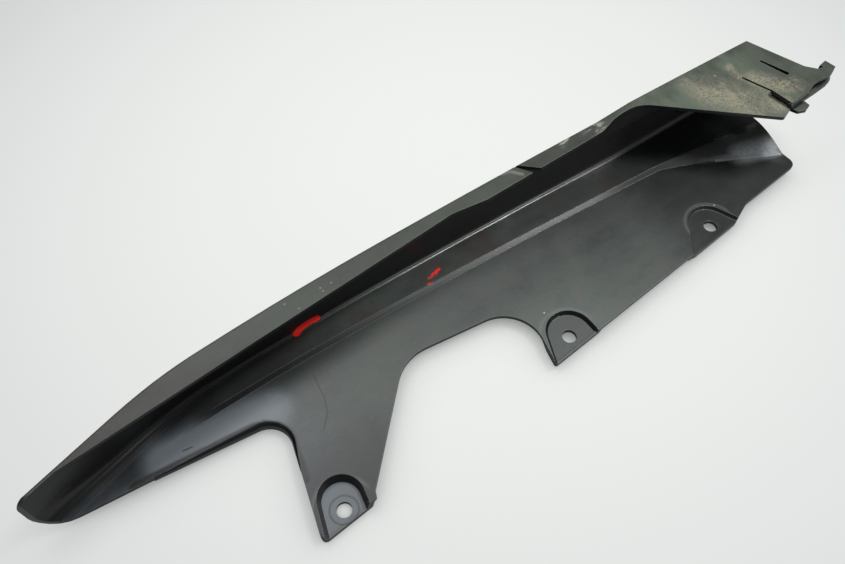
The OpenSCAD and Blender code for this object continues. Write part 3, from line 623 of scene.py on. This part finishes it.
# %% Gloss
SATIN = 0.31
flat = plastic.facing_up.rise(0.95, 0.995) * (1 - 0.6 * towards_tail)
on_flare = plastic.x.rise(0.095, 0.160) * sloping
roughness = SATIN + 0.04 * cloud + 0.14 * (streak - 0.5) + 0.10 * (mottle - 0.5)
roughness = roughness + 0.09 * flat - 0.09 * sloping - 0.08 * at_tail + 0.45 * on_flare
roughness = roughness + 0.05 * on_flange + 0.4 * mud + 0.15 * scuffs - 0.1 * paint
for name, value in (("Base Color", colour), ("Roughness", roughness.kept()), ("Normal", edge)):
    plastic.plug(plastic.shader.inputs[name], value)
for slot in guard.material_slots:
    slot.material = plastic.material
print("the moulding wears", plastic.material.name, "on slots:", len(guard.material_slots))

# %% [markdown]
# ## The sheet under the part
# The part lies on a white sheet. Stronger lamps could make it white, but they would wash
# out the black part. So the camera sees the sheet partly as its own colour, through Light
# Path, and everything else sees a plain pale floor. That colour turns a little greyer far
# away, a painted falloff of the light, and Ambient Occlusion darkens it close to the part,
# so that a soft shadow stays.

# %% Floor
FLOOR_HALF = 6.0
FLOOR_DROP = 0.0002
SHEET = tone(164, 166, 165)
SHEET_ROUGHNESS = 0.7
NEAR_WHITE = tone(252, 254, 251)
FAR_WHITE = tone(192, 194, 198)
WHITEST_PLACE = (0.05, 0.11)
GREYING = 3.4  # with the square of the distance in metres
CONTACT_SHADOW = tone(96, 98, 100)
SHADOW_STRENGTH = 0.9
SHADOW_REACH = 0.03
SHADOW_SAMPLES = 6
OWN_COLOUR_SHARE = 0.8


def white_sheet():
    sheet = Finish("white_sheet")
    sheet.plug(sheet.shader.inputs["Base Color"], SHEET)
    sheet.plug(sheet.shader.inputs["Roughness"], SHEET_ROUGHNESS)
    aside, behind = sheet.x - WHITEST_PLACE[0], sheet.y - WHITEST_PLACE[1]
    far = (GREYING * (aside * aside + behind * behind)).kept()
    # painted falloff of the light: whiter near the part, greyer far away
    shade = sheet.blend(far, NEAR_WHITE, FAR_WHITE)
    open_sky = sheet.add("ShaderNodeAmbientOcclusion", {"samples": SHADOW_SAMPLES}, {
        "Distance": SHADOW_REACH}, "AO")
    shade = sheet.blend(SHADOW_STRENGTH * (1 - open_sky), shade, CONTACT_SHADOW)
    seen = sheet.add("ShaderNodeLightPath", {}, {}, "Is Camera Ray")
    glow = sheet.add("ShaderNodeEmission", {}, {"Color": shade})
    lit = Wire(sheet, sheet.shader.outputs[0])
    mixed = sheet.add("ShaderNodeMixShader", {}, {
        0: OWN_COLOUR_SHARE * seen, 1: lit, 2: glow})
    sheet.plug(sheet.output.inputs["Surface"], mixed)
    return sheet.material


mesh = bpy.data.meshes.new("floor")
corners = [(-FLOOR_HALF, -FLOOR_HALF, 0), (FLOOR_HALF, -FLOOR_HALF, 0),
           (FLOOR_HALF, FLOOR_HALF, 0), (-FLOOR_HALF, FLOOR_HALF, 0)]
mesh.from_pydata(corners, [], [(0, 1, 2, 3)])
mesh.materials.append(white_sheet())
floor = bpy.data.objects.new("floor", mesh)
floor.location.z = -FLOOR_DROP
bpy.context.scene.collection.objects.link(floor)
print("the floor is a stage, not part of the object")

# %% [markdown]
# ## Light
# A glossy black part shows its lamps more than its own colour, so each lamp is placed for
# the mirror image that it makes. Two hang behind the part and give the panel its grey
# sheen, which fades towards the tail. Two more stand high on the right, and their images
# draw the bright line along the crease. The last two stand low in front, and light the
# step. Each lamp is given by how bright its face looks, so its power follows from its size.

# %% Light
SKY_COLOUR = (0.95, 0.98, 1.0, 1)
SKY_STRENGTH = 0.12
world = bpy.data.worlds.new("world")
bpy.context.scene.world = world
world.use_nodes = True
sky = world.node_tree.nodes["Background"]
sky.inputs["Color"].default_value = SKY_COLOUR
sky.inputs["Strength"].default_value = SKY_STRENGTH


def softbox(name, place, aim, size, brightness):
    """A lamp given by how bright its face looks, where 1 is white."""
    data = bpy.data.lights.new(name, "AREA")
    data.shape = "RECTANGLE"
    data.size, data.size_y = size
    data.energy = brightness * math.pi * size[0] * size[1]
    lamp = bpy.data.objects.new(name, data)
    lamp.location = place
    lamp.rotation_euler = (Vector(aim) - Vector(place)).to_track_quat("-Z", "Y").to_euler()
    bpy.context.scene.collection.objects.link(lamp)


SOFTBOXES = (  # name, place, the point it is aimed at, size and brightness
    ("overhead", (0.00, 0.63, 1.30), (0.00, 0.10, 0), (1.0, 0.45), 4.2),
    ("overhead_left", (-0.27, 0.73, 1.25), (-0.17, 0.10, 0), (0.45, 0.40), 5.6),
    ("zenith", (0.62, -0.15, 1.30), (0.05, 0.05, 0), (0.55, 0.34), 18.0),
    ("zenith_core", (0.62, -0.13, 1.29), (0.05, 0.05, 0), (0.30, 0.26), 26.0),
    ("front_right", (0.63, -0.90, 0.52), (0.05, 0.05, 0), (0.42, 0.4), 5.2),
    ("front_middle", (0.28, -0.90, 0.47), (0.00, 0.05, 0), (0.25, 0.25), 1.8))
for row in SOFTBOXES:
    softbox(*row)
print(len(SOFTBOXES), "softboxes and a dim sky are in place")

# %% [markdown]
# ## The view transform
# The picture is shown through the Standard view transform.

# %% The view transform
view = bpy.context.scene.view_settings
view.view_transform = "Standard"
